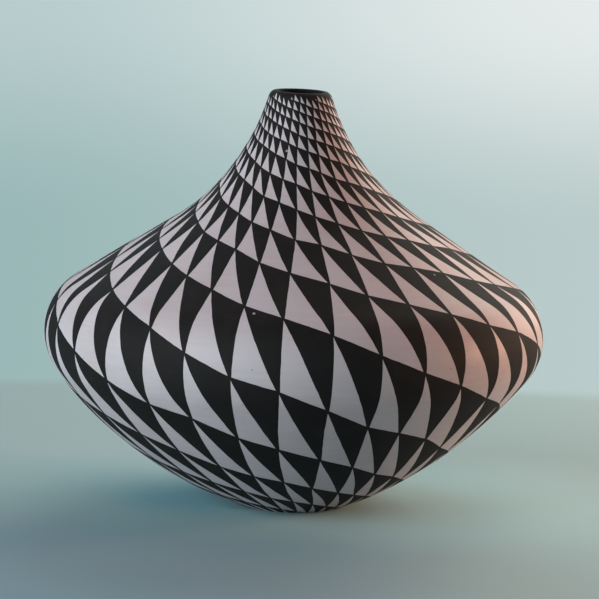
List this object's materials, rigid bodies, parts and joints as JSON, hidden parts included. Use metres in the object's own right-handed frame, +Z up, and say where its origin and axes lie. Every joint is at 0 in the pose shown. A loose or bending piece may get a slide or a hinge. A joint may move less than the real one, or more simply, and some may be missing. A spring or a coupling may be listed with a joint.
{
  "type": "jar",
  "caption": "Round-bodied pottery jar with a hollow-curved neck and a small mouth, painted all over with winding rows of black and pale triangles.",
  "frame": {"origin": "centre of the ring that the jar stands on, in the plane of the surface under it", "axes": "+Z up along the jar's axis; -Y towards the viewer of the picture, +X to the viewer's right"},
  "size_m": [0.25, 0.25, 0.2074],
  "materials": {
    "painted_clay": "pale grey-white slip, painted with black triangles and stone-polished to a satin sheen outside; bare brown clay inside",
    "dark_lip": "pale slip almost covered by black paint, worn to lighter clay along the lip"
  },
  "bodies": {
    "root": {"pressed_base": "painted_clay", "lower_coil_1": "painted_clay", "lower_coil_2": "painted_clay", "belly_coil_1": "painted_clay", "belly_coil_2": "painted_clay", "shoulder_coil": "painted_clay", "neck_coil_1": "painted_clay", "neck_coil_2": "painted_clay", "rim_coil": "dark_lip"}
  },
  "joints": []
}
